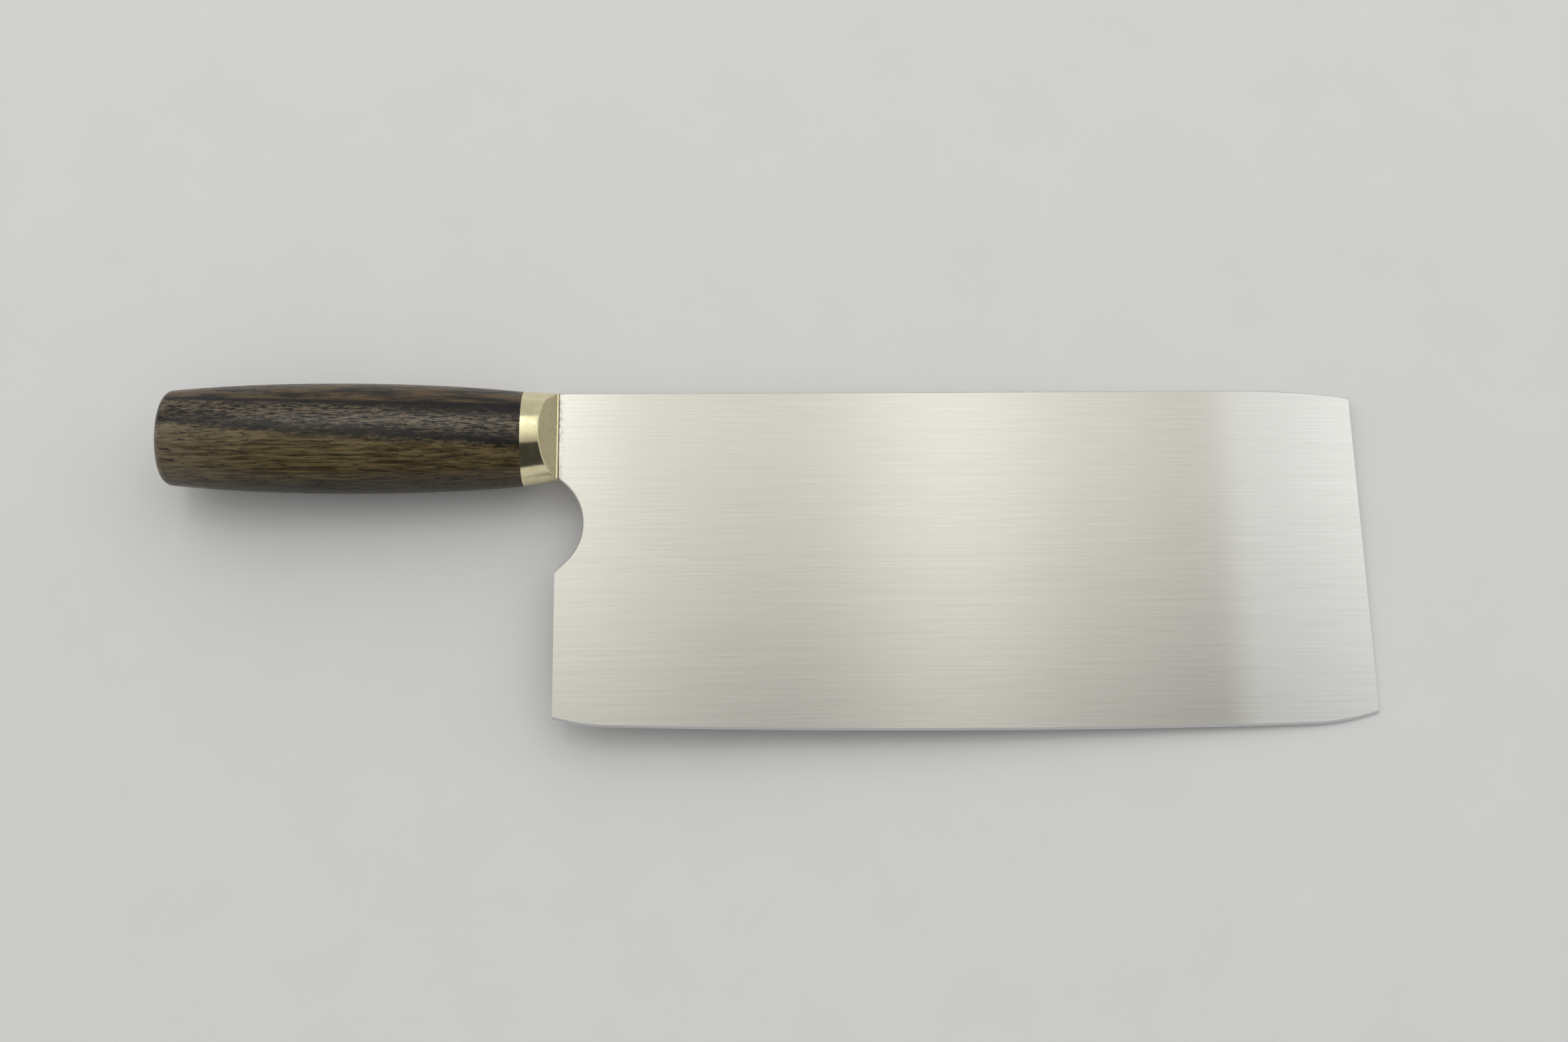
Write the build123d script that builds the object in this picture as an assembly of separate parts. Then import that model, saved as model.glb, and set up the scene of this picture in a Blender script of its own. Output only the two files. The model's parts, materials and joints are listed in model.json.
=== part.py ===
from build123d import *
from math import asin, cos, degrees, radians, sin, sqrt, tan
import os

# A Chinese vegetable cleaver: a thin, tall, wedge-ground blade whose hidden stick tang is bonded
# into a one-piece wooden handle behind a solid brass bolster.
# Each piece is drawn in the knife's own axes: X runs from the bolster's front face to the toe,
# Y runs up to the spine, Z is the thickness. At the end the whole knife is laid down as it rests.

# Blade outline
blade_length = 219.2
edge_depth = 93.2
spine_straight = 188.0
spine_fall_radius = 238.0
nose_length = 5.2
nose_radius = 30.0
belly_radius = 3650.0
belly_station = 137.0
toe_sweep = 18.6
toe_sweep_radius = 68.0
heel_sweep = 14.5
heel_sweep_radius = 60.0
heel_set_back = 0.5
notch_radius = 14.4
notch_reach = 6.8
ramp_angle = 45.0

# Blade grind
spine_thickness = 2.4
edge_thickness = 0.5
edge_flat = 0.06
bevel_width = 0.6
spine_ease = 0.25
notch_ease = 0.35

# Tang
tang_length = 78.0
tang_height = 13.0
tang_end_height = 8.0
tang_thickness = 1.9

# Oval barrel of the bolster and the handle
barrel_length = 106.3
swell_station = 57.0
swell_power = 2.15
front_height = 24.2
swell_height = 30.45
butt_height = 25.6
front_width = 19.5
swell_width = 22.6
butt_width = 20.6
joint_droop = 0.5
butt_rise = 0.35
bolster_section_count = 3
handle_section_count = 27

# Bolster
bolster_length = 9.4
lip_length = 0.45
lip_stand = 0.4
pinch_angle = 64.0
pinch_ease = 0.3
lip_ease = 0.3
slot_clearance = 0.05

# Handle
butt_sag = 0.45
butt_ease = 2.4
rim_section_count = 6
dome_section_count = 4
mortise_spare = 2.0
glue_gap = 0.6

# Cutting tools run past the piece by this much
overrun = 5.0

# Spine and edge walls face up and down within this angle
wall_angle = 30.0

# Stations tried when the barrel's resting point is looked for
rest_steps = 400


def turn_to(reach, radius, start_turn):
    """Turn at the end of an arc that starts at start_turn and reaches this far along X."""
    return asin(sin(start_turn) + reach / radius)


def blade_outline():
    """Side view of the blade, clockwise from the spine's rear corner."""
    spine = Line((0, 0), (spine_straight, 0))
    fall_turn = turn_to(blade_length - nose_length - spine_straight, spine_fall_radius, 0)
    spine_fall = JernArc(spine @ 1, (1, 0), spine_fall_radius, -degrees(fall_turn))
    nose_turn = turn_to(nose_length, nose_radius, fall_turn)
    nose = JernArc(spine_fall @ 1, spine_fall % 1, nose_radius, -degrees(nose_turn - fall_turn))

    toe_join = turn_to(blade_length - toe_sweep - belly_station, belly_radius, 0)
    heel_join = turn_to(belly_station - heel_sweep + heel_set_back, belly_radius, 0)
    toe_join_y = -edge_depth + belly_radius * (1 - cos(toe_join))
    toe_join_point = (blade_length - toe_sweep, toe_join_y)
    toe_end = turn_to(toe_sweep, toe_sweep_radius, toe_join)
    heel_end = turn_to(heel_sweep, heel_sweep_radius, heel_join)
    toe_arc = JernArc(toe_join_point, (cos(toe_join), sin(toe_join)), toe_sweep_radius,
                      degrees(toe_end - toe_join))
    belly = JernArc(toe_join_point, (-cos(toe_join), -sin(toe_join)), belly_radius,
                    -degrees(toe_join + heel_join))
    heel_arc = JernArc(belly @ 1, belly % 1, heel_sweep_radius, -degrees(heel_end - heel_join))

    notch_centre = Vector(notch_reach - notch_radius, -front_height)
    notch_centre -= Vector(0, sqrt(notch_radius**2 - notch_centre.X**2))
    ramp = radians(ramp_angle)
    ramp_top = notch_centre + Vector(cos(ramp), -sin(ramp)) * notch_radius
    ramp_fall = (ramp_top.X + heel_set_back) / tan(ramp)
    ramp_foot = Vector(-heel_set_back, ramp_top.Y - ramp_fall)
    notch_middle = notch_centre + Vector(notch_radius, 0)
    notch = ThreePointArc(ramp_top, notch_middle, (0, -front_height))
    toe = Line(nose @ 1, toe_arc @ 1)
    heel = Line(heel_arc @ 1, ramp_foot)
    ramp_line = Line(ramp_foot, ramp_top)
    rear = Line((0, -front_height), (0, 0))
    return make_face([spine, spine_fall, nose, toe, toe_arc, belly, heel_arc, heel, ramp_line, notch, rear])


def ground_side(side):
    """Everything outside one flat side, which runs straight from the spine to the edge."""
    lean = (spine_thickness - edge_thickness) / 2 / edge_depth
    plane = Plane(origin=(0, 0, side * spine_thickness / 2), x_dir=(1, 0, 0), z_dir=(0, -lean, side))
    reach = 2 * (blade_length + overrun)
    drop = 2 * (edge_depth + overrun)
    return plane * Box(reach, drop, spine_thickness, align=(Align.CENTER, Align.CENTER, Align.MIN))


def rim(blade, side, is_wall):
    """One ground side, and its edges along the chosen walls of the outline."""
    face = blade.faces().sort_by(lambda f: side * f.area * f.normal_at().Z)[-1]
    wall_edges = blade.faces().filter_by(is_wall).edges()
    return face, [edge for edge in face.edges() if edge in wall_edges]


def is_spine_wall(face):
    return face.normal_at().Y > cos(radians(wall_angle))


def is_edge_wall(face):
    return face.normal_at().Y < -cos(radians(wall_angle))


def is_notch_wall(face):
    middle = face.center()
    return middle.X < notch_radius and -front_height - 2 * notch_radius < middle.Y < -front_height


def ground_blade():
    """Blank ground to a full flat wedge, eased along the spine and round the notch, then bevelled."""
    blade = extrude(blade_outline(), spine_thickness / 2, both=True)
    for side in (1, -1):
        blade -= ground_side(side)
    for side in (1, -1):
        face, spine_rim = rim(blade, side, is_spine_wall)
        blade = chamfer(spine_rim, spine_ease)
        face, notch_rim = rim(blade, side, is_notch_wall)
        blade = chamfer(notch_rim, notch_ease)
        face, edge_rim = rim(blade, side, is_edge_wall)
        blade = chamfer(edge_rim, bevel_width, (edge_thickness - edge_flat) / 2, reference=face)
    return blade


def tang_block(growth, length):
    """The tapered stick tang, or the hole round it when it is grown by a gap."""
    middle = -front_height / 2
    near = tang_height / 2 + growth
    far = near - (tang_height - tang_end_height) / 2 * length / tang_length
    outline = make_face(Polyline((0, middle + near), (-length, middle + far), (-length, middle - far),
                                 (0, middle - near), close=True))
    return extrude(outline, tang_thickness / 2 + growth, both=True)


def barrel_size(station, front, swell, butt):
    """Full height or width at a station behind the bolster's face, fullest at the swell."""
    end, reach = front, swell_station
    if station > swell_station:
        end, reach = butt, barrel_length - swell_station
    return swell - (swell - end) * (abs(station - swell_station) / reach)**swell_power


def barrel_axis(station):
    """Height of the barrel's axis: it droops along the bolster and rises again along the wood."""
    if station < bolster_length:
        return -front_height / 2 - joint_droop * station / bolster_length
    climb = (joint_droop + butt_rise) * (station - bolster_length) / (barrel_length - bolster_length)
    return -front_height / 2 - joint_droop + climb


def barrel_section(station, ease=0, share=1):
    """Ellipse across the barrel, drawn in by an ease all round and then scaled by a share."""
    plane = Plane(origin=(-station, barrel_axis(station), 0), x_dir=(0, 1, 0), z_dir=(-1, 0, 0))
    height = barrel_size(station, front_height, swell_height, butt_height)
    width = barrel_size(station, front_width, swell_width, butt_width)
    return plane * Ellipse((height / 2 - ease) * share, (width / 2 - ease) * share)


def barrel_sections(start, end, count):
    """Evenly spaced sections of a stretch of the barrel."""
    return [barrel_section(start + (end - start) * number / (count - 1)) for number in range(count)]


def butt_sections():
    """Sections that round the butt's rim over and close its low dome."""
    sections = []
    for number in range(1, rim_section_count + 1):
        turn = radians(90) * number / rim_section_count
        station = barrel_length - butt_sag - butt_ease * (1 - sin(turn))
        sections.append(barrel_section(station, butt_ease * (1 - cos(turn))))
    for number in range(1, dome_section_count + 1):
        share = 1 - number / (dome_section_count + 1)
        sections.append(barrel_section(barrel_length - butt_sag * share**2, butt_ease, share))
    return sections


def pinch_cut(side):
    """Cut off the bolster's flank, which leaves an inclined D-shaped flat and a thin, eased lip."""
    lip_half = spine_thickness / 2 + lip_stand
    rise = swell_width
    run = rise / tan(radians(pinch_angle))
    eased = lip_half - lip_ease
    outline = Polyline((-lip_length, side * lip_half), (-lip_length - run, side * (lip_half + rise)),
                       (overrun, side * (lip_half + rise)), (overrun, side * eased), (0, side * eased),
                       (-lip_ease, side * lip_half), close=True)
    return extrude(Plane.XZ * make_face(outline), front_height + swell_height, both=True)


def bolster():
    """Solid brass barrel end, pinched on both flanks down to an eased lip against the blade."""
    body = loft(barrel_sections(0, bolster_length, bolster_section_count), ruled=True)
    for side in (1, -1):
        body -= pinch_cut(side)
        flat = body.faces().filter_by(GeomType.PLANE).sort_by(lambda f: side * f.center().Z)[-1]
        body = chamfer(flat.edges().sort_by(Edge.length)[-1], pinch_ease)
    return body - tang_block(slot_clearance, tang_length)


def mortise():
    """Blind hole in the handle, from its front face to a little past the tang's end."""
    hole = tang_block(glue_gap, tang_length + mortise_spare)
    front = Box(bolster_length, swell_height * 2, swell_width, align=(Align.MAX, Align.CENTER, Align.CENTER))
    return hole - front


def handle():
    """Wooden barrel, ruled through its sections, with a rounded butt and the mortise for the tang."""
    barrel_end = barrel_length - butt_sag - butt_ease
    body = loft(barrel_sections(bolster_length, barrel_end, handle_section_count) + butt_sections(), ruled=True)
    return body - mortise()


def tang_bedding():
    """Set adhesive that fills the mortise round the tang."""
    return mortise() - tang_block(0, tang_length)


def resting_plane():
    """Plane that the knife lies on: the flat side's toe end and the underside of the swell."""
    roll = (spine_thickness - edge_thickness) / 2 / edge_depth
    pitch = 0
    for step in range(rest_steps + 1):
        station = barrel_length * step / rest_steps
        half_width = barrel_size(station, front_width, swell_width, butt_width) / 2
        half_height = barrel_size(station, front_height, swell_height, butt_height) / 2
        underside = roll * barrel_axis(station) - sqrt(half_width**2 + (roll * half_height)**2)
        pitch = max(pitch, (-spine_thickness / 2 - underside) / (blade_length + station))
    return Plane(origin=(0, 0, 0), x_dir=(1, 0, pitch), z_dir=(-pitch, roll, 1))


def lay_down(pieces):
    """Lay the knife on its side, with the middle of its footprint at the origin."""
    to_rest = resting_plane().location.inverse()
    lying = {name: to_rest * piece for name, piece in pieces.items()}
    box = Compound(list(lying.values())).bounding_box()
    shift = Pos(-box.center().X, -box.center().Y, -box.min.Z)
    return {name: shift * piece for name, piece in lying.items()}


knife = {
    "blade": ground_blade() + tang_block(0, tang_length),
    "bolster": bolster(),
    "handle": handle(),
    "tang_bedding": tang_bedding(),
}

os.makedirs("parts", exist_ok=True)
for name, piece in lay_down(knife).items():
    export_step(piece, f"parts/{name}.step")
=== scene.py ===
import json
from math import acos, asin, cos, pi, radians, sin, sqrt, tan

import bmesh
import bpy
from mathutils import Matrix, Vector


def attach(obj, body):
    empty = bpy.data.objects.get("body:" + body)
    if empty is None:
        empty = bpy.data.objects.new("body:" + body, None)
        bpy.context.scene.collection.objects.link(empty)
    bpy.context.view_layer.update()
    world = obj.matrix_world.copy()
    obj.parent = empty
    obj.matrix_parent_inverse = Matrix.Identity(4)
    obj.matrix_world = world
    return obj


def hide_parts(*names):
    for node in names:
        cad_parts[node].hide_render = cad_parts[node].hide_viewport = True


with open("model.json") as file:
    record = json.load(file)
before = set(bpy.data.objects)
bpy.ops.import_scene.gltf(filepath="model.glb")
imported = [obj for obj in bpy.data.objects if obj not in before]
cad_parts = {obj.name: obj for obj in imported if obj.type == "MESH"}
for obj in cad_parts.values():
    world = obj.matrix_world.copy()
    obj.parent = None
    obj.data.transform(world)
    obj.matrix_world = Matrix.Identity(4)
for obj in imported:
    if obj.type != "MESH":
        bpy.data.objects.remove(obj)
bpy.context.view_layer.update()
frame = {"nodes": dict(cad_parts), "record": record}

# The cleaver lies on one side of its blade and on the swell of its handle. Its own axes are read
# from the blade's two flat sides: X runs from the bolster to the toe, Y up to the spine, and Z out
# of the side on view. Every size below is in millimetres along these axes.
mm = 0.001
blade_length = 219.2
edge_depth = 93.2

sides = {mount["name"]: mount for mount in frame["record"]["mounts"]}
up_side = sides["blade_side_up"]
down_side = sides["blade_side_down"]
knife_z = (Vector(up_side["axis"]) - Vector(down_side["axis"])).normalized()
knife_y = -(Vector(up_side["axis"]) + Vector(down_side["axis"])).normalized()
knife_x = knife_y.cross(knife_z)
side_middle = (Vector(up_side["pos_m"]) + Vector(down_side["pos_m"])) / 2
knife_corner = side_middle - knife_x * blade_length / 2 * mm + knife_y * edge_depth / 2 * mm
lying = Matrix((knife_x, knife_y, knife_z)).transposed().to_4x4()
lying.translation = knife_corner
lying = lying @ Matrix.Scale(mm, 4)


# The blade is one plate of steel, ground to a flat wedge and brushed lengthwise, with a narrow
# cutting bevel, an eased spine and finger notch, and a stick tang forged out of its rear wall.
spine_straight = 188.0
spine_fall_radius = 238.0
nose_length = 5.2
nose_radius = 30.0
belly_radius = 3650.0
belly_station = 137.0
toe_sweep = 18.6
toe_sweep_radius = 68.0
heel_sweep = 14.5
heel_sweep_radius = 60.0
heel_set_back = 0.5
front_height = 24.2
notch_radius = 14.4
notch_reach = 6.8
ramp_angle = 45.0
spine_half = 1.2
edge_half = 0.25
edge_flat_half = 0.03
bevel_width = 0.6
spine_ease = 0.25
notch_ease = 0.35
rim_steps = 4
fall_steps = 24
nose_steps = 8
toe_steps = 32
belly_steps = 64
heel_steps = 28
notch_steps = 72
nearly_straight = 0.02
weld_distance = 0.0005
sharp_angle = 30.0
tang_length = 78.0
tang_height = 13.0
tang_end_height = 8.0
tang_half = 0.95
hair_depth = 0.0005
bevel_grain_depth = 0.001
dull_steel = (0.682, 0.667, 0.632, 1)
bright_steel = (0.758, 0.743, 0.708, 1)
# Colour of old polish, also used as painted shade at the lip's step
old_polish_and_shade = (0.12, 0.11, 0.08, 1)
dull_bevel = (0.86, 0.87, 0.89, 1)
bright_bevel = (0.94, 0.95, 0.97, 1)


def walk(start, heading, radius, turn, steps):
    """Points after the start of an arc that leaves it on a heading and turns right by an angle."""
    centre = start + Vector((sin(heading), -cos(heading))) * radius
    points = []
    for step in range(1, steps + 1):
        now = heading - turn * step / steps
        points.append(centre + Vector((-sin(now), cos(now))) * radius)
    return points


def turned(reach, radius, start_turn):
    """Turn at the end of an arc that starts at one turn and reaches this far along X."""
    return asin(sin(start_turn) + reach / radius)


def blade_outline():
    """Side view, clockwise from the spine's rear corner: a point and the kind of wall after it."""
    fall_turn = turned(blade_length - nose_length - spine_straight, spine_fall_radius, 0)
    nose_turn = turned(nose_length, nose_radius, fall_turn)
    spine = [Vector((0, 0)), Vector((spine_straight, 0))]
    spine += walk(spine[-1], 0, spine_fall_radius, fall_turn, fall_steps)
    spine += walk(spine[-1], -fall_turn, nose_radius, nose_turn - fall_turn, nose_steps)
    outline = [(point, "spine") for point in spine[:-1]] + [(spine[-1], "end")]

    toe_join = turned(blade_length - toe_sweep - belly_station, belly_radius, 0)
    heel_join = turned(belly_station - heel_sweep + heel_set_back, belly_radius, 0)
    toe_turn = turned(toe_sweep, toe_sweep_radius, toe_join)
    heel_turn = turned(heel_sweep, heel_sweep_radius, heel_join)
    toe_low = -edge_depth + belly_radius * (1 - cos(toe_join))
    toe_low += toe_sweep_radius * (cos(toe_join) - cos(toe_turn))
    edge = [Vector((blade_length, toe_low))]
    edge += walk(edge[-1], pi + toe_turn, toe_sweep_radius, toe_turn - toe_join, toe_steps)
    edge += walk(edge[-1], pi + toe_join, belly_radius, toe_join + heel_join, belly_steps)
    edge += walk(edge[-1], pi - heel_join, heel_sweep_radius, heel_turn - heel_join, heel_steps)
    outline.append((edge[0] + Vector((0, bevel_width / cos(toe_turn))), "end"))
    outline += [(point, "edge") for point in edge[:-1]] + [(edge[-1], "end")]
    outline.append((edge[-1] + Vector((0, bevel_width / cos(heel_turn))), "end"))

    notch_centre = Vector((notch_reach - notch_radius, -front_height))
    notch_centre.y -= sqrt(notch_radius**2 - notch_centre.x**2)
    ramp = radians(ramp_angle)
    ramp_top = notch_centre + Vector((cos(ramp), -sin(ramp))) * notch_radius
    ramp_foot = Vector((-heel_set_back, ramp_top.y - (ramp_top.x + heel_set_back) / tan(ramp)))
    outline += [(ramp_foot, "notch"), (ramp_top, "notch")]
    last = acos(-notch_centre.x / notch_radius)
    for step in range(1, notch_steps):
        angle = -ramp + (last + ramp) * step / notch_steps
        outline.append((notch_centre + Vector((cos(angle), sin(angle))) * notch_radius, "notch"))
    outline.append((Vector((0, -front_height)), "rear"))
    return outline


def inset(before, here, after, first, second):
    """Point inside a corner of a clockwise outline, at one distance from each of its two walls."""
    into = []
    for start, end in ((before, here), (here, after)):
        run = (end - start).normalized()
        into.append(Vector((run.y, -run.x)))
    cross = into[0].x * into[1].y - into[0].y * into[1].x
    if abs(cross) < nearly_straight:
        return here + into[0] * max(first, second)
    x = (first * into[1].y - second * into[0].y) / cross
    y = (into[0].x * second - into[1].x * first) / cross
    return here + Vector((x, y))


def half_thickness(y):
    """Half the wedge's thickness at a height, which is 0 at the spine and negative below it."""
    return spine_half + (spine_half - edge_half) / edge_depth * y


def blade_mesh():
    """Closed mesh: two flat sides, rims that turn into the walls, and the tang."""
    widths = {"spine": spine_ease, "notch": notch_ease, "edge": bevel_width, "end": 0.0, "rear": 0.0}
    outline = blade_outline()
    mesh = bmesh.new()
    columns = []
    for number, (here, kind) in enumerate(outline):
        before, kind_before = outline[number - 1]
        after = outline[(number + 1) % len(outline)][0]
        is_edge = "edge" in (kind, kind_before)
        depth = max(widths[kind], widths[kind_before])
        column = []
        for step in range(rim_steps + 1):
            turn = pi / 2 * step / rim_steps
            share, drop = 1 - sin(turn), depth * (1 - cos(turn))
            if is_edge:
                share = 1 - step / rim_steps
            point = inset(before, here, after, widths[kind_before] * share, widths[kind] * share)
            z = half_thickness(point.y) - drop
            if is_edge:
                rim_half = half_thickness(here.y + bevel_width)
                z = edge_flat_half + (rim_half - edge_flat_half) * share
            column.append((mesh.verts.new((*point, z)), mesh.verts.new((*point, -z))))
        columns.append((column, kind))

    for number, (column, kind) in enumerate(columns):
        following = columns[(number + 1) % len(columns)][0]
        for step in range(rim_steps):
            for side in (0, 1):
                strip = [column[step][side], following[step][side],
                         following[step + 1][side], column[step + 1][side]]
                face = mesh.faces.new(strip)
                face.smooth = True
                face.material_index = 1 if kind == "edge" else 0
        if kind != "rear":
            wall = [column[-1][0], following[-1][0], following[-1][1], column[-1][1]]
            mesh.faces.new(wall).smooth = True

    low, high = columns[-1][0][-1], columns[0][0][-1]
    root = [high[0], high[1], low[1], low[0]]
    for x, height in ((0, tang_height), (-tang_length, tang_end_height)):
        ring = []
        for y_side, z_side in ((1, 1), (1, -1), (-1, -1), (-1, 1)):
            y = (y_side * height - front_height) / 2
            ring.append(mesh.verts.new((x, y, z_side * tang_half)))
        for corner in range(4):
            beside = (corner + 1) % 4
            mesh.faces.new([root[corner], root[beside], ring[beside], ring[corner]])
        root = ring
    mesh.faces.new(root)
    for side in (0, 1):
        mesh.faces.new([column[0][side] for column, kind in columns])
    return mesh


def close_up(mesh):
    """Merge what coincides, face everything outwards and mark the crisp edges."""
    bmesh.ops.remove_doubles(mesh, verts=mesh.verts, dist=weld_distance)
    bmesh.ops.dissolve_degenerate(mesh, edges=mesh.edges, dist=weld_distance)
    bmesh.ops.recalc_face_normals(mesh, faces=mesh.faces)
    for edge in mesh.edges:
        edge.smooth = edge.calc_face_angle(pi) < radians(sharp_angle)


def add_piece(name, mesh, materials):
    """Lay a piece down beside the others and give it its finishes."""
    if isinstance(mesh, bmesh.types.BMesh):
        data = bpy.data.meshes.new(name)
        close_up(mesh)
        mesh.to_mesh(data)
        mesh.free()
    else:
        data = mesh
        data.name = name
        data.materials.clear()
    data.transform(lying)
    for material in materials:
        data.materials.append(material)
    piece = bpy.data.objects.new(name, data)
    bpy.context.scene.collection.objects.link(piece)
    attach(piece, "root")
    return piece


class Wire:
    """A node socket that takes part in sums, so that a finish or a form reads as a formula."""

    def __init__(self, tree, socket=None):
        self.tree = tree
        self.socket = socket

    def node(self, kind, settings=None, inputs=None, output=0):
        """Add a node, apply its settings, then fill its sockets with values or links."""
        made = self.tree.nodes.new(kind)
        for name, value in (settings or {}).items():
            setattr(made, name, value)
        for name, value in (inputs or {}).items():
            if isinstance(value, Wire):
                self.tree.links.new(value.socket, made.inputs[name])
            else:
                made.inputs[name].default_value = value
        return Wire(self.tree, made.outputs[output] if made.outputs else None)

    def sum(self, operation, *terms):
        """Add one Math node on numbers or links."""
        return self.node("ShaderNodeMath", {"operation": operation}, dict(enumerate(terms)))

    def __add__(self, other):
        return self.sum("ADD", self, other)

    def __sub__(self, other):
        return self.sum("SUBTRACT", self, other)

    def __mul__(self, other):
        return self.sum("MULTIPLY", self, other)

    def __truediv__(self, other):
        return self.sum("DIVIDE", self, other)

    def __pow__(self, other):
        return self.sum("POWER", self, other)

    def __rsub__(self, other):
        return self.sum("SUBTRACT", other, self)

    __radd__ = __add__
    __rmul__ = __mul__

    def clamp(self):
        """The value kept between 0 and 1."""
        return self.node("ShaderNodeClamp", {}, {"Value": self})

    def rise(self, low, high):
        """0 below one value, 1 above the other, smooth between them."""
        return self.node("ShaderNodeMapRange", {"interpolation_type": "SMOOTHSTEP"},
                         {"Value": self, "From Min": low, "From Max": high})

    def noise(self, place, scale, detail=3.0, rough=0.55):
        """Soft random value from 0 to 1 at a place given as a vector."""
        inputs = {"Vector": place, "Scale": scale, "Detail": detail, "Roughness": rough}
        return self.node("ShaderNodeTexNoise", {}, inputs)

    def vector(self, x, y, z):
        """One vector out of three values."""
        return self.node("ShaderNodeCombineXYZ", {}, {"X": x, "Y": y, "Z": z})

    def blend(self, share, first, second):
        """Colour that goes from the first to the second as the share goes from 0 to 1."""
        return self.node("ShaderNodeMix", {"data_type": "RGBA"}, {0: share, 6: first, 7: second}, 2)


def knife_place(start):
    """Where a shaded point is along the knife's own axes, in millimetres."""
    place = start.node("ShaderNodeTexCoord", output="Object")
    inputs = {0: place, 1: knife_corner}
    from_corner = start.node("ShaderNodeVectorMath", {"operation": "SUBTRACT"}, inputs)
    axes = []
    for axis in (knife_x, knife_y, knife_z):
        inputs = {0: from_corner, 1: axis / mm}
        axes.append(start.node("ShaderNodeVectorMath", {"operation": "DOT_PRODUCT"}, inputs, "Value"))
    return axes


def new_finish(name):
    """A material with an empty tree, and the wire to build it from."""
    material = bpy.data.materials.new(name)
    material.use_nodes = True
    material.node_tree.nodes.clear()
    return material, Wire(material.node_tree)


def finish_surface(start, values):
    """End a finish in one principled surface."""
    surface = start.node("ShaderNodeBsdfPrincipled", {}, values)
    start.node("ShaderNodeOutputMaterial", {}, {"Surface": surface})


def bump(start, height, depth):
    """Normal of a surface raised by a height from 0 to 1, times a depth in millimetres."""
    return start.node("ShaderNodeBump", {}, {"Height": height, "Distance": depth * mm})


def satin_steel():
    """Steel brushed lengthwise on a belt: long hair lines of several widths."""
    material, start = new_finish("satin steel")
    x, y, z = knife_place(start)
    hair = start.noise(start.vector(x * 0.05, y * 4.4, z), 1.0, 3.0, 0.7)
    streak = start.noise(start.vector(x * 0.006, y * 1.4, z + 40.0), 1.0, 3.0, 0.6)
    cloud = start.noise(start.vector(x * 0.012, y * 0.03, z + 90.0), 1.0, 2.0)
    tone = hair * 0.75 + streak * 0.25
    colour = start.blend(tone.rise(0.32, 0.68), dull_steel, bright_steel)

    # A dark line where the bolster's lip ends, partly old polish and partly painted shade of the lip's
    # step, with a faint smudge of old polish in front of it
    smudge = start.noise(start.vector(x * 0.8, y * 0.5, z), 1.0, 3.0)
    seam_shade_and_smudge = (1 - x.rise(0.12, 0.4)) * 0.85 + (1 - x.rise(0.2, 2.2)) * smudge.rise(0.4, 0.75) * 0.5
    shade_and_grime = (seam_shade_and_smudge * y.rise(-25.5, -23.5)).clamp()
    colour = start.blend(shade_and_grime, colour, old_polish_and_shade)
    finish_surface(start, {
        "Base Color": colour,
        "Metallic": 1.0,
        "Roughness": 0.11 + tone * 0.03 + cloud * 0.02,
        "Anisotropic": 1.0,
        "Tangent": start.vector(*knife_y),
        "Normal": bump(start, hair, hair_depth),
    })
    return material


def honed_steel():
    """The cutting bevel, honed across the edge on a stone, which leaves it pale and matt."""
    material, start = new_finish("honed steel")
    x, y, z = knife_place(start)
    cross = start.noise(start.vector(x * 6.0, y * 0.5, z), 1.0, 3.0)
    finish_surface(start, {
        "Base Color": start.blend(cross, dull_bevel, bright_bevel),
        "Metallic": 1.0,
        "Roughness": 0.62 + cross * 0.1,
        "Normal": bump(start, cross, bevel_grain_depth),
    })
    return material


blade = add_piece("blade_ground", blade_mesh(), [satin_steel(), honed_steel()])
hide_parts("blade")


# The bolster is a solid brass barrel end, slotted for the tang. Each flank is filed to an inclined
# D-shaped flat that runs down to a thin lip against the blade, and the whole is hand polished.
bolster_length = 9.4
barrel_length = 106.3
swell_station = 57.0
swell_power = 2.15
swell_height = 30.45
butt_height = 25.6
front_width = 19.5
swell_width = 22.6
butt_width = 20.6
joint_droop = 0.5
butt_rise = 0.35
lip_length = 0.45
lip_half = 1.6
lip_ease = 0.3
pinch_angle = 64.0
pinch_ease = 0.3
pinch_fade = 3.0
slot_clearance = 0.05
flank_columns = 56
crown_columns = 6
barrel_rows = 14
lip_steps = 3
halvings = 40
wave_depth = 0.06
worn_brass = (0.80, 0.73, 0.46, 1)
bright_brass = (0.88, 0.82, 0.56, 1)


def barrel_half(station, front, swell, butt):
    """Half the barrel's height or width at a station behind the bolster's face."""
    end, reach = front, swell_station
    if station > swell_station:
        end, reach = butt, barrel_length - swell_station
    return (swell - (swell - end) * (abs(station - swell_station) / reach)**swell_power) / 2


def barrel_point(station, angle):
    """Point of the oval barrel, at an angle from the spine towards the side on view."""
    height = barrel_half(station, front_height, swell_height, butt_height)
    width = barrel_half(station, front_width, swell_width, butt_width)
    axis = -front_height / 2 - joint_droop * station / bolster_length
    return Vector((-station, axis + height * cos(angle), width * sin(angle)))


def pinch_station(angle):
    """Station where the barrel at an angle comes out of the inclined flat."""
    low, high = lip_length, bolster_length
    for halving in range(halvings):
        middle = (low + high) / 2
        flat = lip_half + (middle - lip_length) * tan(radians(pinch_angle))
        if abs(barrel_point(middle, angle).z) > flat:
            low = middle
        else:
            high = middle
    return low


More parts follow.
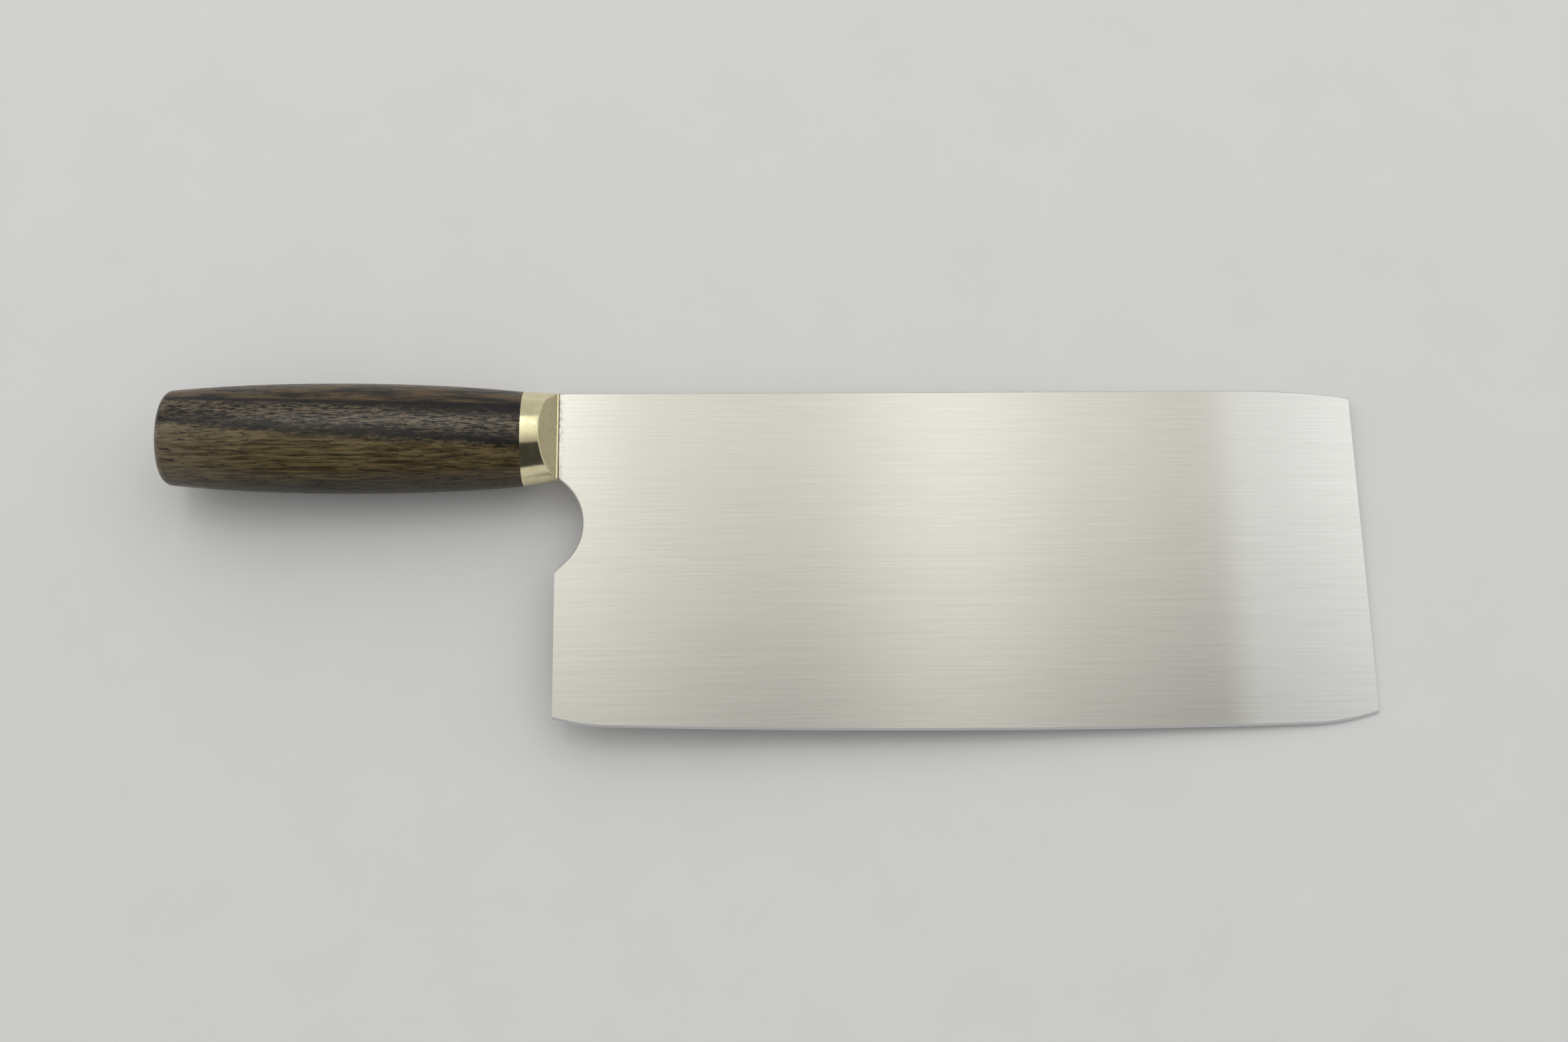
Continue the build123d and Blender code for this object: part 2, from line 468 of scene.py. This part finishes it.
def flank_rim(angles):
    """For each angle, the rounded rim from the flat to the barrel, and the station where it ends."""
    crest = [barrel_point(pinch_station(angle), angle) for angle in angles]
    slope = radians(pinch_angle)
    rims = []
    for number, angle in enumerate(angles):
        here = crest[number]
        side = 1 if here.z > 0 else -1
        run = crest[min(number + 1, len(crest) - 1)] - crest[max(number - 1, 0)]
        across = run.cross(Vector((sin(slope), 0, side * cos(slope)))).normalized()
        if across.x < 0:
            across = -across
        ease = pinch_ease * min(1, (abs(here.z) - lip_half) / pinch_fade)
        behind = barrel_point(-here.x + ease, angle)
        rim = []
        for step in range(rim_steps + 1):
            share = step / rim_steps
            on_flat = (here + across * ease) * (1 - share)**2
            rim.append(on_flat + here * 2 * share * (1 - share) + behind * share**2)
        rims.append((rim, -here.x + ease))
    return rims


def lip_corner(mesh, angle):
    """Rounded front corner of the lip: points at one angle, from the front face back."""
    corner = []
    for step in range(lip_steps + 1):
        turn = pi / 2 * step / lip_steps
        point = barrel_point(lip_ease * (1 - sin(turn)), angle)
        point.z *= 1 - lip_ease * (1 - cos(turn)) / lip_half
        corner.append(mesh.verts.new(point))
    return corner[::-1]


def holed_face(mesh, outer, hole):
    """Flat face with a hole, as two halves; both loops start at the spine and run the same way."""
    for first, last in ((0, 0.5), (0.5, 1)):
        part = []
        for loop in (outer, hole):
            count = len(loop)
            numbers = range(round(first * count), round(last * count) + 1)
            part.append([loop[number % count] for number in numbers])
        mesh.faces.new(part[0] + part[1][::-1])


def bolster_mesh():
    """Closed brass mesh: barrel, two flats with rounded rims, lip, and the slot right through."""
    corner = asin(lip_half / barrel_point(lip_length, pi / 2).z)
    mesh = bmesh.new()
    columns = []
    for quarter in range(4):
        middle = quarter * pi / 2
        if quarter % 2:
            angles = [middle + (pi / 2 - corner) * (2 * step / flank_columns - 1)
                      for step in range(flank_columns + 1)]
            starts = flank_rim(angles)
        else:
            angles = [middle + corner * (2 * step / crown_columns - 1)
                      for step in range(crown_columns + 1)]
            starts = [([barrel_point(lip_length, angle)] * (rim_steps + 1), lip_length)
                      for angle in angles]
        for angle, (rim, station) in zip(angles, starts):
            front = None if quarter % 2 else lip_corner(mesh, angle)
            column = [mesh.verts.new(point) for point in rim]
            for row in range(1, barrel_rows + 1):
                now = station + (bolster_length - station) * row / barrel_rows
                column.append(mesh.verts.new(barrel_point(now, angle)))
            columns.append((quarter, front, column))
    spine_start = crown_columns // 2
    columns = columns[spine_start:] + columns[:spine_start]

    for number, (quarter, front, column) in enumerate(columns):
        next_quarter, next_front, beside = columns[(number + 1) % len(columns)]
        if front and next_front and quarter == next_quarter:
            here, there = front + column[:1], next_front + beside[:1]
            for step in range(lip_steps + 1):
                mesh.faces.new([here[step], there[step], there[step + 1], here[step + 1]]).smooth = True
        for row in range(len(column) - 1):
            mesh.faces.new([column[row], beside[row], beside[row + 1], column[row + 1]]).smooth = True
    for quarter in (1, 3):
        mesh.faces.new([column[0] for number, front, column in columns if number == quarter])
    fronts = [front + column[:1] for quarter, front, column in columns if front]
    for first in (spine_start, -spine_start - 1):
        here, there = fronts[first], fronts[first + 1]
        for step in range(lip_steps + 1):
            mesh.faces.new([here[step], there[step], there[step + 1], here[step + 1]]).smooth = True

    holes = []
    for x in (0, -bolster_length):
        near = (tang_height - (tang_height - tang_end_height) * -x / tang_length) / 2 + slot_clearance
        side = tang_half + slot_clearance
        corners = ((near, 0), (near, side), (-near, side), (-near, 0), (-near, -side), (near, -side))
        holes.append([mesh.verts.new((x, y - front_height / 2, z)) for y, z in corners])
    holed_face(mesh, [front[0] for front in fronts], holes[0])
    holed_face(mesh, [column[-1] for quarter, front, column in columns], holes[1])
    for number in range(len(corners)):
        beside = (number + 1) % len(corners)
        mesh.faces.new([holes[0][number], holes[0][beside], holes[1][beside], holes[1][number]])
    return mesh


def polished_brass():
    """Brass polished by hand: a near mirror with faint waves, hair scratches and a little tarnish."""
    material, start = new_finish("polished brass")
    x, y, z = knife_place(start)
    place = start.vector(x, y, z)
    wave = start.noise(place, 0.16, 2.0)
    hair = start.noise(start.vector(x * 4.5, y * 0.35, z * 0.35), 1.0, 3.0, 0.65)
    haze = start.noise(place, 0.5, 4.0)
    colour = start.blend(haze.rise(0.35, 0.7), worn_brass, bright_brass)
    finish_surface(start, {
        "Base Color": colour,
        "Metallic": 1.0,
        "Roughness": 0.09 + haze * 0.06 + hair * 0.03,
        "Normal": bump(start, wave * 0.95 + hair * 0.05, wave_depth),
    })
    return material


bolster = add_piece("bolster_polished", bolster_mesh(), [polished_brass()])
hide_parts("bolster")


# The handle is one block of dark banded hardwood, turned to an oval barrel with a swell, bored
# blind for the tang, glued up against the bolster, then sanded flush with it and oiled.
joint_share = 0.04
barrel_share = 0.76
round_share = 0.88
handle_rows = 101
handle_columns = 145
butt_ease = 2.4
butt_sag = 0.45
mortise_spare = 2.0
glue_gap = 0.6
cap_weld = 0.001
brown_layer = 3.25
olive_layer = 15.8
tan_and_sheen_layer = 5.6
pore_depth = 0.03
dark_brown = (0.010, 0.007, 0.004, 1)
light_brown = (0.088, 0.058, 0.026, 1)
dark_black = (0.003, 0.003, 0.003, 1)
light_black = (0.010, 0.009, 0.007, 1)
# Tan of the flecks, partly the wood's own colour and partly painted sheen
tan_fleck_and_sheen = (0.150, 0.114, 0.073, 1)
dark_olive = (0.044, 0.030, 0.010, 1)
light_olive = (0.182, 0.134, 0.060, 1)
dark_pale = (0.095, 0.072, 0.044, 1)
light_pale = (0.225, 0.182, 0.120, 1)
# Colour of the painted shade along the handle's lower flank
painted_shade_olive = (0.014, 0.009, 0.004, 1)
layer_line = (0.006, 0.005, 0.004, 1)
dark_fibre = (0.008, 0.006, 0.004, 1)
open_pore = (0.003, 0.003, 0.002, 1)


def banded_wood():
    """Brown sapwood, a near-black heart band and olive-brown wood, with open pores and an oil sheen."""
    material, start = new_finish("banded hardwood")
    x, y, z = knife_place(start)

    drift = start.noise(start.vector(x * 0.02, y * 0.12, z * 0.12), 1.0, 2.0) - 0.5
    fibre = start.noise(start.vector(x * 0.16, y * 2.6, z * 2.6), 1.0, 4.0, 0.65)
    streak = start.noise(start.vector(x * 0.09, y * 1.3, z * 1.3), 1.0, 4.0, 0.7)
    ragged = start.noise(start.vector(x * 0.5, y * 1.3, z * 1.3), 1.0, 4.0, 0.7) - 0.5
    fleck = start.noise(start.vector(x * 0.34, y * 2.2, z * 2.2), 1.0, 4.0, 0.75)

    # Height above the two layer boundaries, which are nearly flat sheets through the block
    above_brown = y + x * 0.0265 + z * 0.2895 + brown_layer + drift * 0.8
    above_olive = y + x * 0.078 + z * 0.29 + olive_layer + drift * 1.6 + ragged * 6.0
    is_brown = above_brown.rise(-0.1, 0.25)
    is_black = above_olive.rise(-1.0, 1.4)

    slanting = start.vector(x * 0.06 + y * 0.3, y * 0.5 - x * 0.05, z * 0.5)
    figure = start.noise(slanting, 1.0, 4.0, 0.6)
    brown = start.blend(figure.rise(0.36, 0.62), dark_brown, light_brown)
    line = (1 - start.sum("ABSOLUTE", above_brown + 0.1).rise(0.1, 0.7)) * 0.8
    black = start.blend(streak.rise(0.35, 0.75), dark_black, light_black)
    # Tan flecks in a band through the black heart: partly the wood's own colour, partly painted sheen
    # where the highlight runs along the handle's middle
    tan_and_sheen_band = 1 - start.sum("ABSOLUTE", above_olive - tan_and_sheen_layer + drift * 4.0).rise(0.5, 4.5)
    black = start.blend(tan_and_sheen_band * fleck.rise(0.44, 0.56), black, tan_fleck_and_sheen)
    olive = start.blend(streak.rise(0.36, 0.64), dark_olive, light_olive)
    near_butt = (1 - x.rise(-108.0, -74.0)) * 0.75
    pale = start.blend(streak.rise(0.3, 0.6), dark_pale, light_pale)
    olive = start.blend(near_butt, olive, pale)
    # Painted shade: the olive wood darkens along the lower flank, where shade falls under the handle
    painted_shade = (1 - (y + z * 0.3).rise(-27.5, -18.5)) * 0.85
    olive = start.blend(painted_shade, olive, painted_shade_olive)
    wood = start.blend(is_brown, start.blend(is_black, olive, black), brown)
    wood = start.blend(line, wood, layer_line)
    wood = start.blend(fibre.rise(0.4, 0.75) * 0.4, wood, dark_fibre)

    # Open pores: short dark dashes that run along the grain and sink a little towards the bolster
    dash = start.noise(start.vector(x * 0.24, y * 2.3 + x * 0.07, z * 2.3), 1.0, 2.0)
    pore = dash.rise(0.60, 0.66)
    wood = start.blend(pore * 0.85, wood, open_pore)
    finish_surface(start, {
        "Base Color": wood,
        "Roughness": 0.16 + fibre * 0.12 + (1 - fleck.rise(0.4, 0.65)) * 0.08 + pore * 0.3,
        "IOR": 1.42,
        "Normal": bump(start, fibre * 0.2 + fleck * 0.12 + (1 - pore), pore_depth),
    })
    return material


def shape_handle(material):
    """Handle as a rule: a sheet of rows and columns wrapped round the joint, the barrel and the butt."""
    tree = bpy.data.node_groups.new("oval handle", "GeometryNodeTree")
    tree.interface.new_socket("Handle", in_out="OUTPUT", socket_type="NodeSocketGeometry")
    sizes = {
        "Joint station": bolster_length,
        "Barrel length": barrel_length,
        "Swell station": swell_station,
        "Front height": front_height,
        "Swell height": swell_height,
        "Butt height": butt_height,
        "Front width": front_width,
        "Swell width": swell_width,
        "Butt width": butt_width,
        "Butt ease": butt_ease,
        "Butt sag": butt_sag,
    }
    for name in sizes:
        tree.interface.new_socket(name, in_out="INPUT", socket_type="NodeSocketFloat")
    start = Wire(tree)
    given = {name: start.node("NodeGroupInput", output=name) for name in sizes}

    sheet = start.node("GeometryNodeMeshGrid", {}, {
        "Size X": 1.0,
        "Size Y": 1.0,
        "Vertices X": handle_rows,
        "Vertices Y": handle_columns,
    })
    place = start.node("GeometryNodeInputPosition")
    along = start.node("ShaderNodeSeparateXYZ", {}, {0: place}, 0) + 0.5
    around = (start.node("ShaderNodeSeparateXYZ", {}, {0: place}, 1) + 0.5) * (2 * pi)

    cap = (along / joint_share).clamp()
    run = ((along - joint_share) / (barrel_share - joint_share)).clamp()
    turn = ((along - barrel_share) / (round_share - barrel_share)).clamp() * (pi / 2)
    dome = ((along - round_share) / (1 - round_share)).clamp()
    ease, sag = given["Butt ease"], given["Butt sag"]
    joint, length, swell = given["Joint station"], given["Barrel length"], given["Swell station"]
    station = joint + run * (length - sag - ease - joint) + ease * start.sum("SINE", turn)
    station = station + sag * (1 - (1 - dome) ** 2.0)

    before = start.sum("MAXIMUM", swell - station, 0.0) / swell
    behind = start.sum("MAXIMUM", station - swell, 0.0) / (length - swell)
    pulled_in = ease * (1 - start.sum("COSINE", turn))

    def half_size(what):
        fullest = given[f"Swell {what}"]
        thinner = (fullest - given[f"Front {what}"]) * before ** swell_power
        thinner = thinner + (fullest - given[f"Butt {what}"]) * behind ** swell_power
        return ((fullest - thinner) / 2.0 - pulled_in) * (1 - dome) * cap

    climb = (joint_droop + butt_rise) * ((station - joint) / (length - joint))
    axis = climb - given["Front height"] / 2.0 - joint_droop
    high = axis + half_size("height") * start.sum("COSINE", around)
    wide = half_size("width") * start.sum("SINE", around)
    wrapped = start.node("GeometryNodeSetPosition", {}, {
        "Geometry": sheet,
        "Position": start.vector(0 - station, high, wide),
    })
    sewn = start.node("GeometryNodeMergeByDistance", {}, {"Geometry": wrapped, "Distance": cap_weld})

    block = start.node("GeometryNodeMeshCube", {}, {"Size": (1.0, 1.0, 1.0)})
    corner = [start.node("ShaderNodeSeparateXYZ", {}, {0: place}, number) for number in range(3)]
    depth = (0.5 - corner[0]) * (tang_length + mortise_spare)
    height = tang_height + 2 * glue_gap - depth * ((tang_height - tang_end_height) / tang_length)
    cut = start.node("GeometryNodeSetPosition", {}, {
        "Geometry": block,
        "Position": start.vector(0 - depth, corner[1] * height - front_height / 2,
                                 corner[2] * (2 * (tang_half + glue_gap))),
    })
    bored = start.node("GeometryNodeMeshBoolean", {"operation": "DIFFERENCE", "solver": "EXACT"},
                       {"Mesh 1": sewn, "Mesh 2": cut})
    soft = start.node("GeometryNodeSetShadeSmooth", {"domain": "FACE"},
                      {"Geometry": bored, "Shade Smooth": True})
    angle = start.node("GeometryNodeInputMeshEdgeAngle", output="Unsigned Angle")
    is_sharp = start.sum("GREATER_THAN", angle, radians(sharp_angle))
    crisp = start.node("GeometryNodeSetShadeSmooth", {"domain": "EDGE"},
                       {"Geometry": soft, "Selection": is_sharp, "Shade Smooth": False})
    whole = start.node("GeometryNodeRealizeInstances", {}, {"Geometry": crisp})
    dressed = start.node("GeometryNodeSetMaterial", {}, {"Geometry": whole, "Material": material})
    start.node("NodeGroupOutput", {}, {"Handle": dressed})

    blank = bpy.data.objects.new("handle blank", bpy.data.meshes.new("handle blank"))
    bpy.context.scene.collection.objects.link(blank)
    rule = blank.modifiers.new("oval handle", "NODES")
    rule.node_group = tree
    for item in tree.interface.items_tree:
        if item.in_out == "INPUT":
            rule[item.identifier] = float(sizes[item.name])
    shaped = blank.evaluated_get(bpy.context.evaluated_depsgraph_get())
    made = bpy.data.meshes.new_from_object(shaped)
    blank.modifiers.clear()
    bpy.data.objects.remove(blank)
    return made


wood = banded_wood()
handle = add_piece("handle_turned", shape_handle(wood), [wood])
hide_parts("handle")


# The tang is bedded in adhesive that fills the mortise. It sets amber, slightly clouded, and can't
# be seen once the knife is together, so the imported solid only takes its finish.
dark_amber = (0.20, 0.14, 0.06, 1)
light_amber = (0.32, 0.24, 0.12, 1)


def set_adhesive():
    """Cured adhesive, amber and a little clouded."""
    material, start = new_finish("set adhesive")
    x, y, z = knife_place(start)
    cloud = start.noise(start.vector(x, y, z), 0.3, 3.0)
    finish_surface(start, {
        "Base Color": start.blend(cloud, dark_amber, light_amber),
        "Roughness": 0.3 + cloud * 0.2,
    })
    return material


bedding = frame["nodes"]["tang_bedding"]
amber = set_adhesive()
if not bedding.material_slots:
    bedding.data.materials.append(amber)
for slot in bedding.material_slots:
    slot.material = amber


# A plain pale floor of matt board carries the knife and its shadow, and runs on to the horizon.
floor_reach = 20.0
dull_board = (0.74, 0.74, 0.735, 1)
bright_board = (0.78, 0.78, 0.775, 1)


def pale_floor():
    """Matt board with a barely visible grain."""
    material, start = new_finish("pale floor")
    grain = start.noise(start.node("ShaderNodeTexCoord", output="Object"), 40.0, 3.0)
    finish_surface(start, {
        "Base Color": start.blend(grain, dull_board, bright_board),
        "Roughness": 0.85,
        "Specular IOR Level": 0.1,
    })
    return material


floor_data = bpy.data.meshes.new("floor")
floor_signs = ((-1, -1), (1, -1), (1, 1), (-1, 1))
floor_corners = [(x * floor_reach, y * floor_reach, 0) for x, y in floor_signs]
floor_data.from_pydata(floor_corners, [], [(0, 1, 2, 3)])
floor_data.materials.append(pale_floor())
floor = bpy.data.objects.new("floor", floor_data)
bpy.context.scene.collection.objects.link(floor)


# A cloth hangs level over the knife and is lit from behind, as a studio's soft light is. The steel
# and the brass show it: two soft pools over the blade, a cooler end and a bright patch for the handle.
cloth_height = 1.3
cloth_reach = ((-0.95, 1.3), (-0.22, 1.2))
cloth_pools = ((-0.16, 0.26, 0.3), (0.305, 0.2, 0.24))
cool_end = (0.615, 0.65)
patch_gain = 2.2
warm_light = (1.0, 0.985, 0.925, 1)
cool_light = (0.98, 1.0, 1.0, 1)


def lit_cloth():
    """Glow of the cloth along its own two directions, in metres."""
    material, start = new_finish("lit cloth")
    place = start.node("ShaderNodeTexCoord", output="Object")
    x = start.node("ShaderNodeSeparateXYZ", {}, {0: place}, 0)
    y = start.node("ShaderNodeSeparateXYZ", {}, {0: place}, 1)
    nearness = y.rise(-0.3, 0.45)
    pools = 0.84 - x.rise(0.48, 0.6) * 0.1
    for middle, reach, gain in cloth_pools:
        away = start.sum("ABSOLUTE", x - middle) / reach
        pools = pools + (1 - away.rise(0.0, 1.0)) * gain
    warm_part = (0.42 + nearness * 0.58) * pools
    cool_part = (0.62 + nearness * 0.38) * (0.92 + x.rise(0.66, 0.85) * 0.2)
    is_cool = x.rise(*cool_end)
    glow = warm_part + (cool_part - warm_part) * is_cool
    glow = glow + y.rise(0.0, 0.4) * x.rise(-0.1, 0.1) * 0.12
    patch = x.rise(-0.62, -0.5) * (1 - x.rise(-0.25, -0.05))
    patch = patch * y.rise(0.45, 0.6) * (1 - y.rise(0.85, 1.1))
    glow = glow + patch * patch_gain
    light = start.node("ShaderNodeEmission", {}, {
        "Color": start.blend(is_cool, warm_light, cool_light),
        "Strength": glow,
    })
    start.node("ShaderNodeOutputMaterial", {}, {"Surface": light})
    return material


cloth_data = bpy.data.meshes.new("lit cloth")
(near_x, far_x), (near_y, far_y) = cloth_reach
cloth_corners = [(near_x, near_y), (near_x, far_y), (far_x, far_y), (far_x, near_y)]
cloth_data.from_pydata([(x, y, cloth_height) for x, y in cloth_corners], [], [(0, 1, 2, 3)])
cloth_data.materials.append(lit_cloth())
cloth = bpy.data.objects.new("lit cloth", cloth_data)
cloth.visible_camera = False
bpy.context.scene.collection.objects.link(cloth)


# The room is what the camera sees past the floor, and what steel and brass show: pale walls low
# down, on the spine side and beyond both ends, under a dim ceiling. What lights matt surfaces is a
# plain white fill from all round, fuller from the spine side.
ceiling_glow = 0.05
spine_wall_glow = 0.5
low_wall_glow = 0.55
end_wall_glow = 0.4
least_fill = 0.35
spine_fill = 0.95
pale_wall = (1.0, 0.985, 0.96, 1)
white = (1.0, 1.0, 1.0, 1)


def room_air():
    """World by direction: one glow for rays that see the room, another for those that light it."""
    world = bpy.data.worlds.new("studio")
    world.use_nodes = True
    world.node_tree.nodes.clear()
    start = Wire(world.node_tree)
    direction = start.node("ShaderNodeTexCoord")
    towards_spine = start.node("ShaderNodeSeparateXYZ", {}, {0: direction}, 1)
    upwards = start.node("ShaderNodeSeparateXYZ", {}, {0: direction}, 2)
    spine_wall = towards_spine.rise(-0.2, 0.3) * spine_wall_glow
    low_wall = (1 - upwards.rise(0.3, 0.4)) * low_wall_glow
    sideways = start.sum("ABSOLUTE", start.node("ShaderNodeSeparateXYZ", {}, {0: direction}, 0))
    end_walls = sideways.rise(0.5, 0.62) * end_wall_glow
    brightest = start.sum("MAXIMUM", start.sum("MAXIMUM", spine_wall, low_wall), end_walls)
    walls = start.node("ShaderNodeBackground", {}, {
        "Color": pale_wall,
        "Strength": ceiling_glow + brightest,
    })
    fill = start.node("ShaderNodeBackground", {}, {
        "Color": white,
        "Strength": least_fill + towards_spine.rise(-0.6, 0.6) * spine_fill,
    })
    seen = 0.0
    for ray in ("Camera", "Glossy", "Transmission"):
        seen = seen + start.node("ShaderNodeLightPath", output=f"Is {ray} Ray")
    sky = start.node("ShaderNodeMixShader", {}, {0: seen.clamp(), 1: fill, 2: walls})
    start.node("ShaderNodeOutputWorld", {}, {"Surface": sky})
    return world


bpy.context.scene.world = room_air()
bpy.context.scene.view_settings.view_transform = "Standard"


# The camera looks down on the knife from above its cutting edge, at the photograph's viewing angle.
camera_place = Vector((45.39, -128.67, 399.69))
camera_aim = Vector((61.09, -36.04, 0.0))
camera_roll = -0.924
camera_lens = 34.79
sensor_width = 36.0

camera_data = bpy.data.cameras.new("camera")
camera_data.lens = camera_lens
camera_data.sensor_width = sensor_width
camera = bpy.data.objects.new("camera", camera_data)
looking = (camera_aim - camera_place).normalized()
level = looking.cross(Vector((0, 1, 0))).normalized()
turned_view = Matrix((level, level.cross(looking), -looking)).transposed()
turned_view = turned_view @ Matrix.Rotation(radians(camera_roll), 3, "Z")
facing = lying.to_3x3().normalized() @ turned_view
camera.matrix_world = Matrix.LocRotScale(lying @ camera_place, facing, None)
bpy.context.scene.collection.objects.link(camera)
bpy.context.scene.camera = camera
